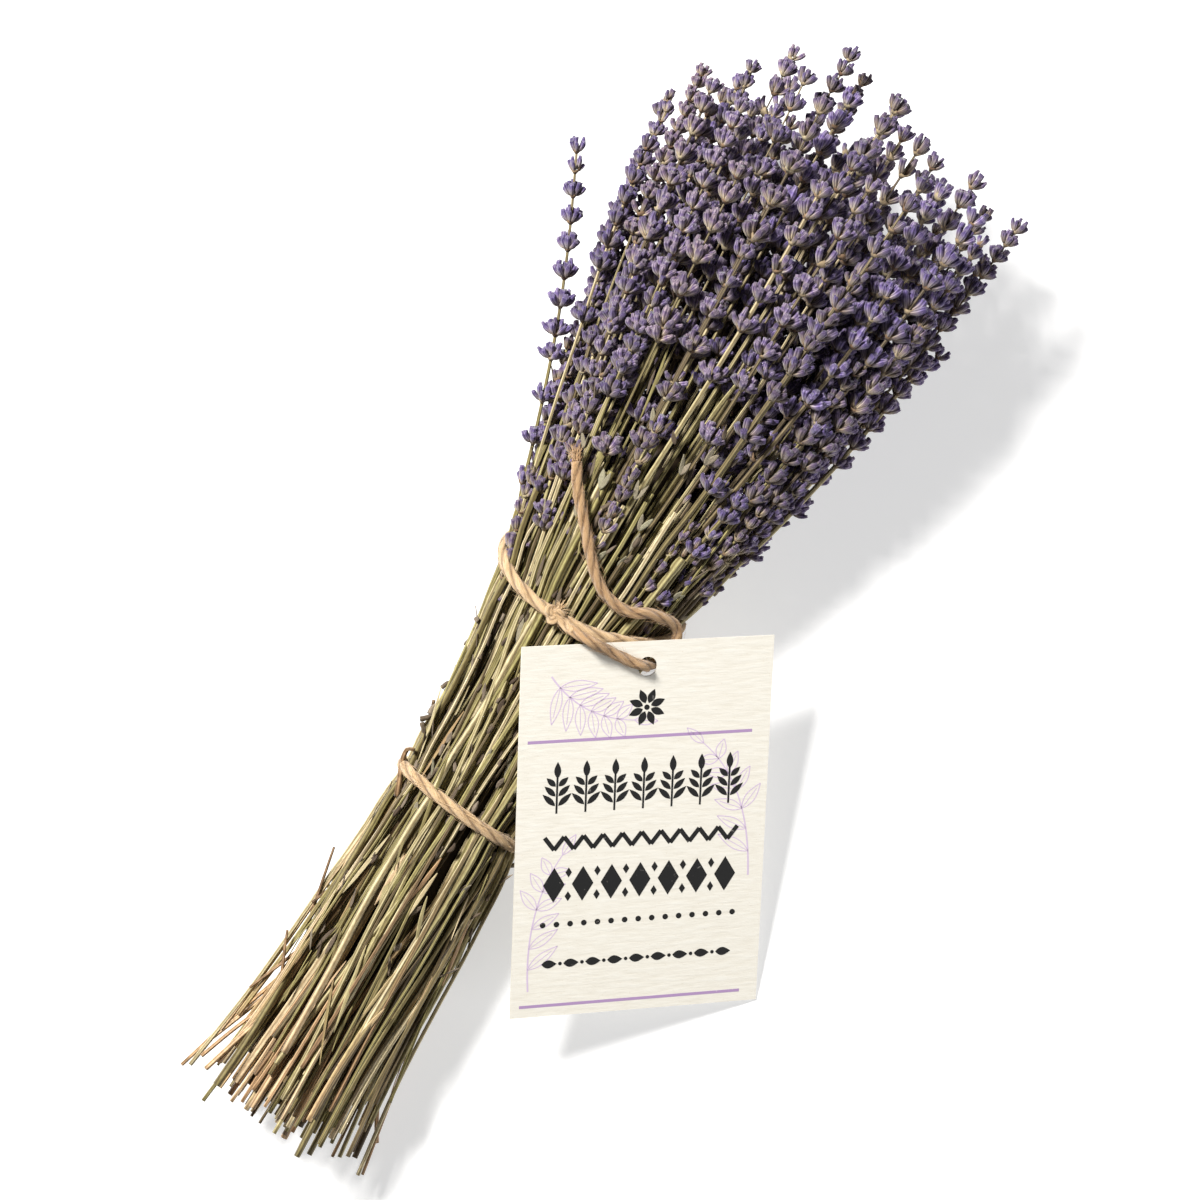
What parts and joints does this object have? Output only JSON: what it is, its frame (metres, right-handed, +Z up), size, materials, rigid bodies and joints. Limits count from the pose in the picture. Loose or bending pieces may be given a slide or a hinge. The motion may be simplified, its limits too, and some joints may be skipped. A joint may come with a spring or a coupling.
{
  "type": "bunch of dried lavender",
  "caption": "Bunch of dried lavender lying on its side, tied twice with jute twine, with a card tag threaded on the twine's end.",
  "frame": {"origin": "under the middle of the bunch and its card, at the surface that it lies on, measured without the loose string", "axes": "+X along the stems towards the flower tips, +Y across the bunch away from the card, +Z up"},
  "size_m": [0.3496, 0.171, 0.0761],
  "materials": {
    "stem": "dry, ribbed and matt, olive to straw",
    "flower": "dry and downy, violet grey",
    "twine": "twisted jute with loose fibres",
    "card": "uncoated card with a fine fibre grain"
  },
  "bodies": {
    "root": {"spike_01": "flower", "spike_02": "flower", "spike_03": "flower", "spike_04": "flower", "spike_05": "flower", "spike_06": "flower", "spike_07": "flower", "spike_08": "flower", "spike_09": "flower", "spike_10": "flower", "spike_11": "flower", "spike_12": "flower", "spike_13": "flower", "spike_14": "flower", "spike_15": "flower", "spike_16": "flower", "spike_17": "flower", "spike_18": "flower", "spike_19": "flower", "spike_20": "flower", "spike_21": "flower", "spike_22": "flower", "spike_23": "flower", "spike_24": "flower", "spike_25": "flower", "spike_26": "flower", "spike_27": "flower", "spike_28": "flower", "spike_29": "flower", "spike_30": "flower", "spike_31": "flower", "spike_32": "flower", "spike_33": "flower", "spike_34": "flower", "spike_35": "flower", "spike_36": "flower", "spike_37": "flower", "spike_38": "flower", "spike_39": "flower", "spike_40": "flower", "spike_41": "flower", "spike_42": "flower", "spike_43": "flower", "spike_44": "flower", "spike_45": "flower", "spike_46": "flower", "spike_47": "flower", "spike_48": "flower", "spike_49": "flower", "spike_50": "flower", "spike_51": "flower", "spike_52": "flower", "spike_53": "flower", "spike_54": "flower", "spike_55": "flower", "stems": "stem", "tag_card": "card", "tag_string": "twine", "tie_lower": "twine", "tie_upper": "twine"}
  },
  "joints": []
}
